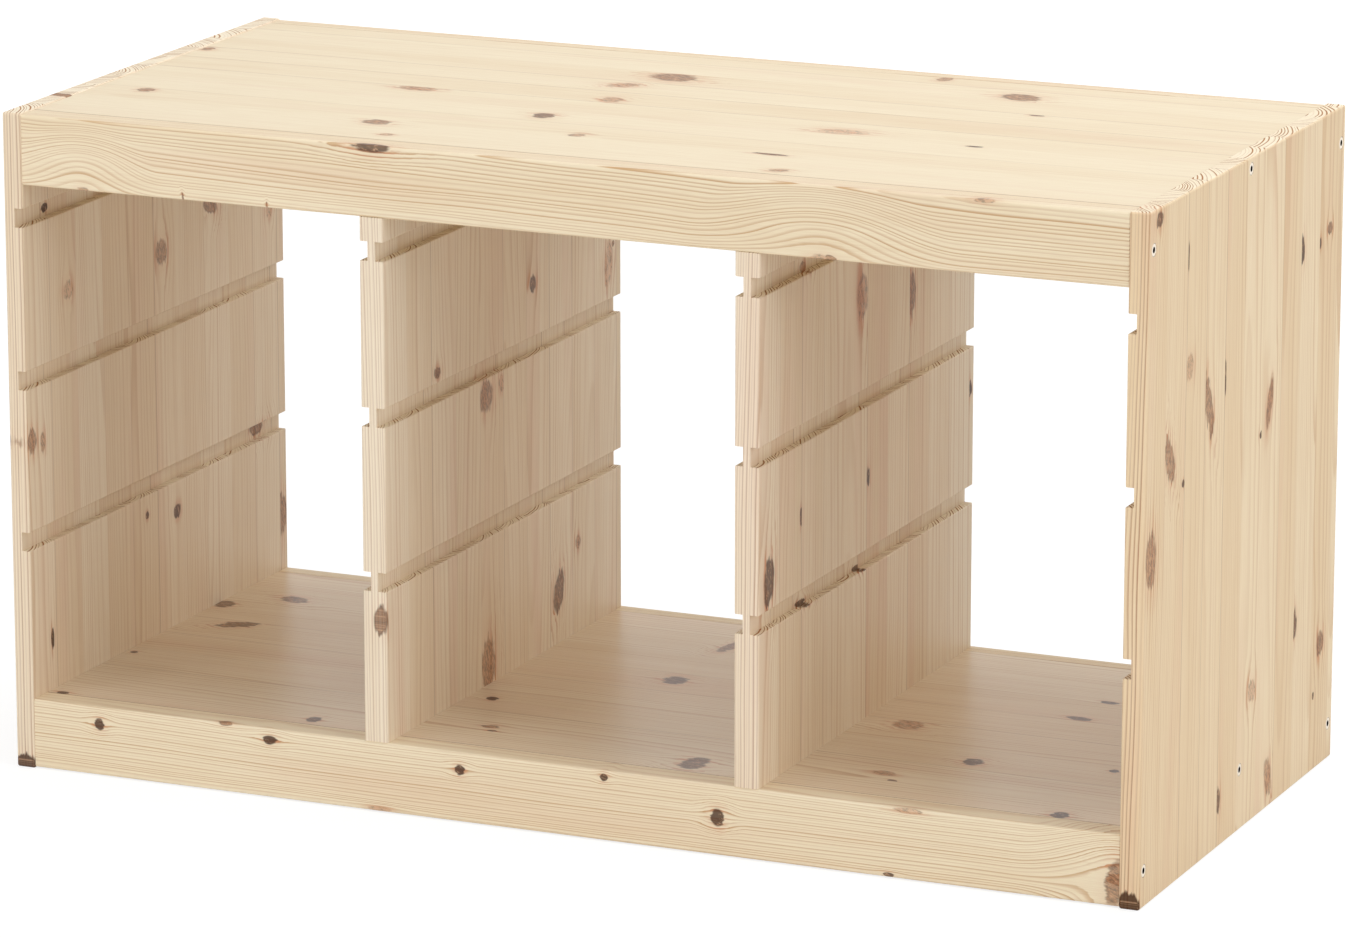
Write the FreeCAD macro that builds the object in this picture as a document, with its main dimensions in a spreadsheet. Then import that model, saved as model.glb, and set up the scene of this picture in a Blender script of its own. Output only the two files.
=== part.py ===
# Storage frame in solid pine: two grooved sides, two grooved partitions, a top board and a bottom board.
# Millimetres, +Z up. The origin is on the floor, in the middle of the footprint. The front faces -Y.
import FreeCAD, Part
import math
import os

import Sketcher

DOCUMENT = FreeCAD.newDocument("storage_frame")
ORIGIN_POINT = (-1, 1)
HORIZONTAL_AXIS = -1
VERTICAL_AXIS = -2

# Driving dimensions. Every other length is a formula of these.
DRIVING = {
    "overall_width": 930,
    "overall_depth": 440,
    "overall_height": 520,
    "side_thickness": 16,
    "partition_thickness": 20,
    "board_thickness": 16,
    "front_rail_thickness": 22,
    "rail_height": 55,
    "rail_setback": 1,
    "rail_lift": 1,
    "partition_depth": 436,
    "arris_radius": 2,
    "joint_bevel": 0.4,
    "groove_height": 15,
    "groove_depth": 7,
    "groove_lip": 0.6,
    "groove_pitch": 128,
    "lowest_groove": 182,
    "grooves_per_face": 3,
    "tongue_thickness": 5,
    "tongue_length": 5,
    "glue_gap": 0.5,
    "dowel_diameter": 8,
    "dowel_flute_depth": 0.5,
    "dowel_length": 30,
    "dowel_spacing": 256,
    "dowel_in_panel": 10,
    "screw_length": 50,
    "screw_head_diameter": 10,
    "screw_head_height": 4,
    "screw_thread_diameter": 7,
    "screw_tip_bevel": 1.2,
    "screw_recess": 0.2,
    "socket_width": 4,
    "socket_depth": 2.6,
    "pilot_overrun": 2,
}

# Formulas that several pieces share. Each is bracketed, so that it can stand inside another.
S = "Sizes."
INNER_WIDTH = f"({S}overall_width - 2*{S}side_thickness)"
RAIL_FACE = f"({S}overall_depth/2 - {S}rail_setback)"
PANEL_FRONT = f"({RAIL_FACE} - {S}front_rail_thickness)"
PANEL_REAR = f"({RAIL_FACE} - {S}board_thickness)"
PANEL_WIDTH = f"({PANEL_FRONT} + {PANEL_REAR})"
PANEL_ORIGIN = f"({PANEL_FRONT} + {S}tongue_length)"
RAIL_SCREW_LINE = f"({RAIL_FACE} - {S}board_thickness/2)"
RAIL_TOP = f"({S}rail_lift + {S}rail_height)"
TOP_RAIL_BASE = f"({S}overall_height - {S}rail_lift - {S}rail_height)"
BOARD_LIFT = f"({TOP_RAIL_BASE} - {S}rail_lift)"
TOP_PANEL_BASE = f"({S}overall_height - {S}rail_lift - {S}board_thickness)"
PARTITION_HEIGHT = f"({TOP_PANEL_BASE} - {RAIL_TOP})"
PARTITION_OFFSET = f"(({INNER_WIDTH} + {S}partition_thickness)/6)"
DOWEL_IN_PARTITION = f"({S}dowel_length - {S}dowel_in_panel)"
TONGUE_BASE = f"({S}board_thickness/2 - {S}tongue_thickness/2)"
TONGUE_TOP = f"({S}board_thickness/2 + {S}tongue_thickness/2)"
HEAD_SLOPE = f"(({S}screw_head_diameter - {S}screw_thread_diameter)/2/{S}screw_head_height)"
RAIL_SCREW_HEIGHT = f"({S}rail_lift + {S}rail_height/2)"
PANEL_SCREW_HEIGHT = f"({RAIL_TOP} - {S}board_thickness/2)"
PILOT_DEPTH = f"({S}screw_length + {S}screw_recess - {S}side_thickness + {S}pilot_overrun)"

# Threads, dowels and the bores round them never show, so they have only this many sides.
BORE_SIDES = 8
SOCKET_SIDES = 6


def write_driving_dimensions():
    """The sheet that holds the driving dimensions, one per row, each cell named."""
    sheet = DOCUMENT.addObject("Spreadsheet::Sheet", "Sizes")
    for row, (name, value) in enumerate(DRIVING.items(), start=1):
        sheet.set(f"A{row}", name.replace("_", " "))
        sheet.set(f"B{row}", str(value))
        sheet.setAlias(f"B{row}", name)
    DOCUMENT.recompute()


def new_body(name):
    """A piece: its label names the node."""
    body = DOCUMENT.addObject("PartDesign::Body", name)
    body.Label = name
    return body


def origin_feature(body, role):
    return next(feature for feature in body.Origin.OriginFeatures if feature.Role == role)


def new_sketch(body, role, name, offset=None, aside=None):
    """A sketch on one of the body's origin planes, or moved off it, or aside in it, by a formula."""
    sketch = body.newObject("Sketcher::SketchObject", f"{body.Name}_{name}")
    sketch.AttachmentSupport = [(origin_feature(body, role), "")]
    sketch.MapMode = "FlatFace"
    for axis, formula in (("z", offset), ("y", aside)):
        if formula is not None:
            sketch.setExpression(f"AttachmentOffset.Base.{axis}", formula)
    return sketch


def bind_point(sketch, point, place):
    """Ties a sketch point to the sketch origin at the place's two formulas; "0" puts it on the axis."""
    for kind, formula, axis in zip(("DistanceX", "DistanceY"), place, (VERTICAL_AXIS, HORIZONTAL_AXIS)):
        if formula == "0":
            sketch.addConstraint(Sketcher.Constraint("PointOnObject", *point, axis))
        else:
            index = sketch.addConstraint(Sketcher.Constraint(kind, *ORIGIN_POINT, *point, 10.0))
            sketch.setExpression(f"Constraints[{index}]", formula)


def draw_outline(sketch, corners):
    """A closed outline of straight lines whose corners are given by formulas."""
    count = len(corners)
    ring = [
        FreeCAD.Vector(
            20 + 10 * math.cos(2 * math.pi * step / count),
            20 + 10 * math.sin(2 * math.pi * step / count),
            0,
        )
        for step in range(count)
    ]
    first = sketch.GeometryCount
    for step in range(count):
        sketch.addGeometry(Part.LineSegment(ring[step], ring[(step + 1) % count]), False)
    for step in range(count):
        following = first + (step + 1) % count
        sketch.addConstraint(Sketcher.Constraint("Coincident", first + step, 2, following, 1))
    for step, corner in enumerate(corners):
        bind_point(sketch, (first + step, 1), corner)


def ring(centre, radii, count):
    """Corners about the centre, at the radius formulas in turn: one makes a polygon, two make flutes."""
    corners = []
    for step in range(count):
        angle = 180 / BORE_SIDES + 360 * step / count
        radius = radii[step % len(radii)]
        across, up = math.cos(math.radians(angle)), math.sin(math.radians(angle))
        corners.append((
            centre[0] if abs(across) < 1e-9 else f"{centre[0]} + {radius}*cos({angle})",
            centre[1] if abs(up) < 1e-9 else f"{centre[1]} + {radius}*sin({angle})",
        ))
    return corners


def pad(body, sketch, length, symmetric=False):
    feature = body.newObject("PartDesign::Pad", f"{sketch.Name}_pad")
    feature.Profile = sketch
    feature.SideType = "Symmetric" if symmetric else "One side"
    feature.setExpression("Length", length)
    return settle(body, feature)


def pocket(body, sketch, depth=None, reverse=False):
    """Cuts the sketch into the body: to a depth formula, or right through."""
    before = body.Shape.Volume
    feature = body.newObject("PartDesign::Pocket", f"{sketch.Name}_pocket")
    feature.Profile = sketch
    feature.Reversed = reverse
    if depth is None:
        feature.Type = "ThroughAll"
    else:
        feature.setExpression("Length", depth)
    return settle(body, feature, before)


def settle(body, feature, volume_before=None):
    """Recomputes, makes the feature the body's tip and makes sure that a cut has removed something."""
    body.Tip = feature
    DOCUMENT.recompute()
    if volume_before is not None and body.Shape.Volume > volume_before - 0.5:
        raise RuntimeError(f"{feature.Name} removed nothing")
    return feature


def dress_edges(body, base, kind, chosen, size):
    """Rounds (Fillet) or bevels (Chamfer) the edges of base for which chosen(edge's bounding box) is true."""
    names = [f"Edge{i}" for i, edge in enumerate(base.Shape.Edges, start=1) if chosen(edge.BoundBox)]
    feature = body.newObject(f"PartDesign::{kind}", f"{body.Name}_{kind}")
    feature.Base = (base, names)
    feature.setExpression("Radius" if kind == "Fillet" else "Size", size)
    return settle(body, feature)


def round_arrises(body, base, chosen):
    return dress_edges(body, base, "Fillet", chosen, f"{S}arris_radius")


def repeat_along(body, features, role, length, count, second=None):
    """Repeats features along an origin axis, and along a second one where it is given."""
    pattern = body.newObject("PartDesign::LinearPattern", f"{features[-1].Name}_pattern")
    pattern.Originals = features
    pattern.Direction = (origin_feature(body, role), [""])
    pattern.setExpression("Length", length)
    pattern.setExpression("Occurrences", str(count))
    if second is not None:
        pattern.Direction2 = (origin_feature(body, second[0]), [""])
        pattern.setExpression("Length2", second[1])
        pattern.setExpression("Occurrences2", str(second[2]))
    return settle(body, pattern)


def mirror_across_middle(body, features):
    """Repeats features on the other side of the piece's middle plane, x = 0."""
    mirrored = body.newObject("PartDesign::Mirrored", f"{body.Name}_mirrored")
    mirrored.Originals = features
    mirrored.MirrorPlane = (origin_feature(body, "YZ_Plane"), [""])
    return settle(body, mirrored)


def turn(body, sketch, kind):
    """Turns the sketch about its own H_Axis, to add a Revolution or to cut a Groove."""
    before = body.Shape.Volume if kind == "Groove" else None
    feature = body.newObject(f"PartDesign::{kind}", f"{sketch.Name}_{kind}")
    feature.Profile = sketch
    feature.ReferenceAxis = (sketch, ["H_Axis"])
    feature.Angle = 360
    return settle(body, feature, before)


def place(body, x="0", y="0", z="0", turned=False):
    """Puts the piece where the three formulas say, turned by half a turn about the vertical if asked."""
    half_turn = FreeCAD.Rotation(FreeCAD.Vector(0, 0, 1), 180 if turned else 0)
    body.Placement = FreeCAD.Placement(FreeCAD.Vector(0, 0, 0), half_turn)
    for axis, formula in zip("xyz", (x, y, z)):
        body.setExpression(f"Placement.Base.{axis}", formula)
    return body


def groove_outline(face, inward, centre):
    """Section of one runner groove in the face, its lips eased; inward is the sign of the way in."""
    half = f"{S}groove_height/2"
    lip = f"{face} {inward} {S}groove_lip"
    bottom = f"{face} {inward} {S}groove_depth"
    return [
        (face, f"{centre} + {half} + {S}groove_lip"),
        (lip, f"{centre} + {half}"),
        (bottom, f"{centre} + {half}"),
        (bottom, f"{centre} - {half}"),
        (lip, f"{centre} - {half}"),
        (face, f"{centre} - {half} - {S}groove_lip"),
    ]


def cut_grooves(body, outlines):
    """Cuts the lowest groove of each outline along the whole depth and repeats it upwards."""
    section = new_sketch(body, "XZ_Plane", "groove")
    for outline in outlines:
        draw_outline(section, outline)
    lowest = pocket(body, section)
    run = f"({S}grooves_per_face - 1)*{S}groove_pitch"
    return repeat_along(body, [lowest], "Z_Axis", run, f"{S}grooves_per_face")


def draw_cone(sketch, mouth_radius, depth):
    """Half the section of a cone that narrows from the mouth at x = 0 to the thread at the depth."""
    thread_radius = f"{S}screw_thread_diameter/2"
    draw_outline(sketch, [("0", "0"), (depth, "0"), (depth, thread_radius), ("0", mouth_radius)])


def drill_screw_hole(body, name, across, height):
    """A countersunk hole through a side, with room for the head to lie a little below the face."""
    seat = new_sketch(body, "XY_Plane", f"{name}_seat", offset=height, aside=across)
    mouth_radius = f"{S}screw_head_diameter/2 + {S}screw_recess*{HEAD_SLOPE}"
    draw_cone(seat, mouth_radius, f"{S}screw_recess + {S}screw_head_height")
    cone = turn(body, seat, "Groove")
    bore = new_sketch(body, "YZ_Plane", f"{name}_bore")
    draw_outline(bore, ring((across, height), [f"{S}screw_thread_diameter/2"], BORE_SIDES))
    return [cone, pocket(body, bore, reverse=True)]


def drill_screw_holes(body):
    """Six holes: two for the rails and one for the panel, low and high."""
    across = f"({S}overall_depth/2 - {RAIL_SCREW_LINE})"
    rail_hole = drill_screw_hole(body, "rail", across, RAIL_SCREW_HEIGHT)
    repeat_along(body, rail_hole, "Z_Axis", BOARD_LIFT, "2", second=("Y_Axis", f"2*{RAIL_SCREW_LINE}", "2"))
    panel_hole = drill_screw_hole(body, "panel", f"{S}overall_depth/2", PANEL_SCREW_HEIGHT)
    repeat_along(body, panel_hole, "Z_Axis", BOARD_LIFT, "2")


def side_board(name):
    """A side. Its outer face is at x = 0, its front edge at y = 0 and its foot at z = 0."""
    body = new_body(name)
    face = new_sketch(body, "YZ_Plane", "face")
    depth, height = f"{S}overall_depth", f"{S}overall_height"
    draw_outline(face, [("0", "0"), (depth, "0"), (depth, height), ("0", height)])
    board = pad(body, face, f"{S}side_thickness")
    round_arrises(body, board, lambda box: True)
    cut_grooves(body, [groove_outline(f"{S}side_thickness", "-", f"{S}lowest_groove")])
    drill_screw_holes(body)
    return body


def drill_end_pilots(body, centre):
    """A blind hole for a screw in each end of a rail or panel."""
    end = new_sketch(body, "YZ_Plane", "end", offset=f"{INNER_WIDTH}/2")
    draw_outline(end, ring(centre, [f"{S}screw_thread_diameter/2"], BORE_SIDES))
    return pocket(body, end, depth=PILOT_DEPTH)


def rail(name, thickness):
    """A rail, centred on x = 0. Its outer face is at y = 0; its inner face holds the panel's tongue."""
    body = new_body(name)
    thick, height, bevel = f"{S}{thickness}", f"{S}rail_height", f"{S}joint_bevel"
    slot_bottom = f"{thick} - {S}tongue_length - {S}glue_gap"
    slot_low = f"{height} - {TONGUE_TOP}"
    slot_high = f"{height} - {TONGUE_BASE}"
    section = new_sketch(body, "YZ_Plane", "section")
    draw_outline(section, [
        ("0", "0"),
        (thick, "0"),
        (thick, slot_low),
        (slot_bottom, slot_low),
        (slot_bottom, slot_high),
        (thick, slot_high),
        (thick, f"{height} - {bevel}"),
        (f"{thick} - {bevel}", height),
        ("0", height),
    ])
    board = pad(body, section, INNER_WIDTH, symmetric=True)
    top = DRIVING["rail_height"]
    inner = DRIVING[thickness]
    round_arrises(body, board, lambda box: is_long(box) and (is_at(box.YMax, 0) or (
        is_at(box.YMin, inner) and is_at(box.ZMax, 0))) and (is_at(box.ZMax, 0) or is_at(box.ZMin, top)))
    pilots = drill_end_pilots(body, (f"{RAIL_FACE} - {RAIL_SCREW_LINE}", f"{height}/2"))
    mirror_across_middle(body, [pilots])
    return body


def is_at(value, place):
    return abs(value - place) < 1e-4


def is_long(box):
    """True for an edge that runs along x."""
    return box.XLength > 10 and box.YLength < 1e-4 and box.ZLength < 1e-4


def panel(name, dowels_from_above):
    """A panel, centred on x = 0, with a tongue on each long edge. The front tongue's tip is at y = 0."""
    body = new_body(name)
    thick, bevel, tongue = f"{S}board_thickness", f"{S}joint_bevel", f"{S}tongue_length"
    rear = f"{tongue} + {PANEL_WIDTH}"
    tip = f"2*{tongue} + {PANEL_WIDTH}"
    section = new_sketch(body, "YZ_Plane", "section")
    draw_outline(section, [
        (tongue, "0"),
        (rear, "0"),
        (rear, TONGUE_BASE),
        (tip, TONGUE_BASE),
        (tip, TONGUE_TOP),
        (rear, TONGUE_TOP),
        (rear, f"{thick} - {bevel}"),
        (f"{rear} - {bevel}", thick),
        (f"{tongue} + {bevel}", thick),
        (tongue, f"{thick} - {bevel}"),
        (tongue, TONGUE_TOP),
        ("0", TONGUE_TOP),
        ("0", TONGUE_BASE),
        (tongue, TONGUE_BASE),
    ])
    pad(body, section, INNER_WIDTH, symmetric=True)
    pilots = drill_end_pilots(body, (PANEL_ORIGIN, f"{thick}/2"))
    face = new_sketch(body, "XY_Plane", "dowels", offset=thick if dowels_from_above else None)
    for sign in "-+":
        spot = (PARTITION_OFFSET, f"{PANEL_ORIGIN} {sign} {S}dowel_spacing/2")
        draw_outline(face, ring(spot, [f"{S}dowel_diameter/2"], BORE_SIDES))
    dowel_holes = pocket(body, face, depth=f"{S}dowel_in_panel + {S}glue_gap", reverse=not dowels_from_above)
    mirror_across_middle(body, [pilots, dowel_holes])
    return body


def partition(name):
    """A partition, notched round the top rails. Its left face is at x = 0 and its front edge at y = 0."""
    body = new_body(name)
    depth, height = f"{S}partition_depth", PARTITION_HEIGHT
    front_notch = f"{S}front_rail_thickness"
    rear_notch = f"{RAIL_FACE} + {PANEL_REAR}"
    shoulder = f"{TOP_RAIL_BASE} - {RAIL_TOP}"
    face = new_sketch(body, "YZ_Plane", "face")
    draw_outline(face, [
        ("0", "0"),
        (depth, "0"),
        (depth, shoulder),
        (rear_notch, shoulder),
        (rear_notch, height),
        (front_notch, height),
        (front_notch, shoulder),
        ("0", shoulder),
    ])
    board = pad(body, face, f"{S}partition_thickness")
    rear = DRIVING["partition_depth"]
    round_arrises(body, board, lambda box: box.ZLength > 10 and box.XLength < 1e-4 and (
        is_at(box.YMax, 0) or is_at(box.YMin, rear)))
    centre = f"{S}lowest_groove - {RAIL_TOP}"
    cut_grooves(body, [
        groove_outline("0", "+", centre),
        groove_outline(f"{S}partition_thickness", "-", centre),
    ])
    for end, offset in (("foot", None), ("head", height)):
        holes = new_sketch(body, "XY_Plane", end, offset=offset)
        for sign in "-+":
            spot = (f"{S}partition_thickness/2", f"{RAIL_FACE} {sign} {S}dowel_spacing/2")
            draw_outline(holes, ring(spot, [f"{S}dowel_diameter/2"], BORE_SIDES))
        pocket(body, holes, depth=f"{DOWEL_IN_PARTITION} + {S}glue_gap", reverse=offset is None)
    return body


def dowel_pair(name):
    """Two fluted dowels, upright: one with its lower end at the piece's origin and the other behind it."""
    body = new_body(name)
    outline = new_sketch(body, "XY_Plane", "outline")
    radius = f"{S}dowel_diameter/2"
    draw_outline(outline, ring(("0", "0"), [radius, f"({radius} - {S}dowel_flute_depth)"], 2 * BORE_SIDES))
    dowel = pad(body, outline, f"{S}dowel_length")
    repeat_along(body, [dowel], "Y_Axis", f"{S}dowel_spacing", "2")
    return body


def screws(name, along_depth):
    """Screws that point along +x from the piece's origin, one low and one high, at two depths for rails."""
    body = new_body(name)
    section = new_sketch(body, "XY_Plane", "head")
    draw_cone(section, f"{S}screw_head_diameter/2", f"{S}screw_head_height")
    head = turn(body, section, "Revolution")
    outline = new_sketch(body, "YZ_Plane", "thread")
    draw_outline(outline, ring(("0", "0"), [f"{S}screw_thread_diameter/2"], BORE_SIDES))
    thread = pad(body, outline, f"{S}screw_length")
    hexagon = new_sketch(body, "YZ_Plane", "socket")
    draw_outline(hexagon, ring(("0", "0"), [f"{S}socket_width/2/cos(30)"], SOCKET_SIDES))
    socket = pocket(body, hexagon, depth=f"{S}socket_depth", reverse=True)
    across = ("Y_Axis", f"2*{RAIL_SCREW_LINE}", "2") if along_depth else None
    repeated = repeat_along(body, [head, thread, socket], "Z_Axis", BOARD_LIFT, "2", second=across)
    tip = DRIVING["screw_length"]
    dress_edges(body, repeated, "Chamfer", lambda box: is_at(box.XMin, tip), f"{S}screw_tip_bevel")
    return body


def build_sides():
    half_width, half_depth = f"{S}overall_width/2", f"{S}overall_depth/2"
    place(side_board("side_left"), x=f"-{half_width}", y=f"-{half_depth}")
    place(side_board("side_right"), x=half_width, y=half_depth, turned=True)


def build_boards():
    """The top and the bottom board: a panel between two rails, flush with it above."""
    place(panel("bottom_panel", True), y=f"-{PANEL_ORIGIN}", z=f"{RAIL_TOP} - {S}board_thickness")
    place(panel("top_panel", False), y=f"-{PANEL_ORIGIN}", z=TOP_PANEL_BASE)
    for level, height in (("bottom", f"{S}rail_lift"), ("top", TOP_RAIL_BASE)):
        place(rail(f"{level}_front_rail", "front_rail_thickness"), y=f"-{RAIL_FACE}", z=height)
        place(rail(f"{level}_rear_rail", "board_thickness"), y=RAIL_FACE, z=height, turned=True)


def build_partitions():
    """Each partition with the dowels under and over it."""
    for hand, sign in (("left", "-"), ("right", "+")):
        middle = f"{sign}{PARTITION_OFFSET}"
        name = f"partition_{hand}"
        left_face = f"{middle} - {S}partition_thickness/2"
        place(partition(name), x=left_face, y=f"-{RAIL_FACE}", z=RAIL_TOP)
        first = f"-{S}dowel_spacing/2"
        lower = dowel_pair(f"{name}_bottom_dowels")
        place(lower, x=middle, y=first, z=f"{RAIL_TOP} - {S}dowel_in_panel")
        upper = dowel_pair(f"{name}_top_dowels")
        place(upper, x=middle, y=first, z=f"{TOP_PANEL_BASE} - {DOWEL_IN_PARTITION}")


def build_screws():
    head = f"({S}overall_width/2 - {S}screw_recess)"
    for hand, sign, turned in (("left", "-", False), ("right", "+", True)):
        start = RAIL_SCREW_LINE if turned else f"-{RAIL_SCREW_LINE}"
        outer = f"{sign}{head}"
        place(screws(f"rail_screws_{hand}", True), x=outer, y=start, z=RAIL_SCREW_HEIGHT, turned=turned)
        place(screws(f"panel_screws_{hand}", False), x=outer, z=PANEL_SCREW_HEIGHT, turned=turned)


def check_document():
    """Stops if any object failed or any piece is empty or broken."""
    for item in DOCUMENT.Objects:
        if "Invalid" in item.State or "Error" in item.State:
            raise RuntimeError(f"{item.Name} failed: {item.State}")
    pieces = [item for item in DOCUMENT.Objects if item.TypeId == "PartDesign::Body"]
    for piece in pieces:
        if piece.Shape.isNull() or not piece.Shape.isValid():
            raise RuntimeError(f"{piece.Label} has no valid shape")
    return pieces


def write_pieces(pieces):
    os.makedirs("parts", exist_ok=True)
    for piece in pieces:
        piece.Shape.exportStep(f"parts/{piece.Label}.step")
        box = piece.Shape.BoundBox
        print(
            f"{piece.Label:32s} solids {len(piece.Shape.Solids)} volume {piece.Shape.Volume:11.1f}"
            f"  x {box.XMin:8.2f} {box.XMax:8.2f}  y {box.YMin:8.2f} {box.YMax:8.2f}"
            f"  z {box.ZMin:8.2f} {box.ZMax:8.2f}"
        )


write_driving_dimensions()
build_sides()
build_boards()
build_partitions()
build_screws()
DOCUMENT.recompute()
write_pieces(check_document())
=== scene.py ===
import math

import bpy
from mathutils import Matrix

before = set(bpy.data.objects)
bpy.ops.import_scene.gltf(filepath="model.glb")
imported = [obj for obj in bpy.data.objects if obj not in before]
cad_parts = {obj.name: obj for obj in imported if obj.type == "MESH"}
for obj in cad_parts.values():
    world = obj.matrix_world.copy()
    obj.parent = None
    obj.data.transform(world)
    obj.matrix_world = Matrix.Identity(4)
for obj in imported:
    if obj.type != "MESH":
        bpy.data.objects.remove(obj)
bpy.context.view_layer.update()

# The photograph's camera: a long lens from the front, to the right and above. The lens is just
# short enough to keep the whole frame inside the picture.
CAMERA_PLACE = (2.107, -4.812, 1.551)
CAMERA_DOWN = 14.06
CAMERA_TURN = 23.665
LENS = 186.8
SENSOR_WIDTH = 36.0
CAMERA_REACH = 100.0

MM = 0.001
# Half the depth, in millimetres, of a knot that goes through a board. It is so deep that its
# section is the same all the way.
THROUGH = 10000.0
# A knot of a side or a partition that reaches further than this from the middle of the frame
# counts as one at the board's narrow edge, which lies 220 mm from it.
EDGE_ZONE = 212.0
# How far a knot pushes the rings aside, and how far a crowded one does, as a share of its width.
# A swell gives its own share.
KNOT_PUSH, CROWDED_PUSH = 0.75, 0.2
# The distance that stands for no knot at all, where 1 is a knot's edge.
NO_KNOT = 60.0


def paint(red, green, blue):
    """A colour as a picture gives it, 0 to 255, turned into the light that a shader takes."""
    def light(value):
        value /= 255.0
        return value / 12.92 if value <= 0.04045 else ((value + 0.055) / 1.055) ** 2.4
    return (light(red), light(green), light(blue), 1.0)


class Shades:
    """Lays out the nodes of one shader tree. An input is a number or another node's output."""

    def __init__(self, tree):
        self.tree = tree

    def feed(self, socket, value):
        if isinstance(value, bpy.types.NodeSocket):
            self.tree.links.new(value, socket)
        else:
            socket.default_value = value

    def add(self, kind, inputs, **settings):
        node = self.tree.nodes.new("ShaderNode" + kind)
        for name, value in settings.items():
            setattr(node, name, value)
        for key, value in inputs.items():
            self.feed(node.inputs[key], value)
        return node

    def sum(self, operation, *values, clamp=False):
        node = self.add("Math", dict(enumerate(values)), operation=operation, use_clamp=clamp)
        return node.outputs[0]

    def vector(self, operation, *values):
        node = self.add("VectorMath", dict(enumerate(values)), operation=operation)
        return node.outputs["Value" if operation in ("LENGTH", "DOT_PRODUCT") else "Vector"]

    def join(self, x, y, z):
        return self.add("CombineXYZ", {0: x, 1: y, 2: z}).outputs[0]

    def split(self, vector):
        return self.add("SeparateXYZ", {0: vector}).outputs

    def fade(self, value, start, end, low=0.0, high=1.0):
        """Goes smoothly from low to high while value goes from start to end."""
        inputs = {"Value": value, "From Min": start, "From Max": end, "To Min": low, "To Max": high}
        return self.add("MapRange", inputs, interpolation_type="SMOOTHSTEP").outputs[0]

    def noise(self, place, scale, detail=2.0, rough=0.5):
        inputs = {"Vector": place, "Scale": scale, "Detail": detail, "Roughness": rough}
        return self.add("TexNoise", inputs).outputs["Fac"]

    def dice(self, a, b, c):
        """Three random numbers that are the same wherever a, b and c are."""
        node = self.add("TexWhiteNoise", {"Vector": self.join(a, b, c)}, noise_dimensions="3D")
        return self.split(node.outputs["Color"])

    def blend(self, amount, first, second):
        inputs = {0: amount, 6: first, 7: second}
        return self.add("Mix", inputs, data_type="RGBA").outputs[2]

    def ramp(self, value, stops):
        node = self.add("ValToRGB", {0: value})
        steps = node.color_ramp.elements
        while len(steps) < len(stops):
            steps.new(0.5)
        for step, (place, colour) in zip(steps, stops):
            step.position = place
            step.color = colour
        return node.outputs[0]

    def surface(self, inputs):
        """The material's one shader, and its way out."""
        shader = self.add("BsdfPrincipled", inputs)
        self.add("OutputMaterial", {"Surface": shader.outputs[0]})


def new_material(name):
    """A material with nothing in it yet, and the tools to fill it."""
    material = bpy.data.materials.new(name)
    material.use_nodes = True
    material.node_tree.nodes.clear()
    return material, Shades(material.node_tree)


def new_group(name, inputs, outputs):
    """An empty node group with its sockets, and the tools to fill it."""
    tree = bpy.data.node_groups.new(name, "ShaderNodeTree")
    for label, kind in inputs:
        tree.interface.new_socket(label, in_out="INPUT", socket_type="NodeSocket" + kind)
    for label, kind in outputs:
        tree.interface.new_socket(label, in_out="OUTPUT", socket_type="NodeSocket" + kind)
    start = tree.nodes.new("NodeGroupInput").outputs
    end = tree.nodes.new("NodeGroupOutput").inputs
    return tree, Shades(tree), start, end


# The grain swerves over a longer stretch than the knot itself. These shorten the knot's length
# and width to that stretch, and the push fades out between the two distances.
SWERVE_STRETCH = (0.42, 0.72, 1.0)
SWERVE_FULL, SWERVE_GONE = 0.2, 2.0
# How far off a place in another stave counts as being, so that a knot ends at its own joint.
OTHER_STAVE = 50.0


def make_knot_group(name, seen):
    """A place that the grain goes round, long and wide as its two axes say. A seen one is a knot,
    and hands on the nearest knot so far. One that isn't lies under the face and only bends the
    rings."""
    knot = [("Nearest", "Float"), ("Tone", "Float")] if seen else []
    inputs = [("Place", "Vector"), ("Shake", "Vector"), ("Grip", "Vector"), ("Stave", "Float"),
              ("Swerve", "Float"), ("Centre", "Vector"), ("Long axis", "Vector"),
              ("Wide axis", "Vector"), ("Deep axis", "Vector"), ("Own stave", "Float"),
              ("Lift", "Float")]
    inputs += knot + ([("Own tone", "Float")] if seen else [])
    tree, s, start, end = new_group(name, inputs, [("Swerve", "Float")] + knot)
    offset = s.vector("SUBTRACT", start["Place"], start["Centre"])
    if seen:
        # Its ends are ragged and its outline is uneven, by a share of its own size.
        offset = s.vector("MULTIPLY_ADD", start["Shake"], start["Grip"], offset)
    long, wide, deep = (s.vector("DOT_PRODUCT", offset, start[axis])
                        for axis in ("Long axis", "Wide axis", "Deep axis"))
    elsewhere = s.sum("SUBTRACT", start["Stave"], start["Own stave"])
    spoke = s.join(long, wide, s.sum("MULTIPLY_ADD", elsewhere, OTHER_STAVE, deep))
    if seen:
        away = s.vector("LENGTH", spoke)
        closer = s.sum("LESS_THAN", away, start["Nearest"])
        own = s.sum("SUBTRACT", start["Own tone"], start["Tone"])
        s.feed(end["Nearest"], s.sum("MINIMUM", away, start["Nearest"]))
        s.feed(end["Tone"], s.sum("MULTIPLY_ADD", own, closer, start["Tone"]))
    reach = s.vector("LENGTH", s.vector("MULTIPLY", spoke, SWERVE_STRETCH))
    reach = s.fade(reach, SWERVE_FULL, SWERVE_GONE, 1.0, 0.0)
    lift = s.sum("MULTIPLY", wide, start["Lift"])
    s.feed(end["Swerve"], s.sum("MULTIPLY_ADD", lift, reach, start["Swerve"]))
    return tree


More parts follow.
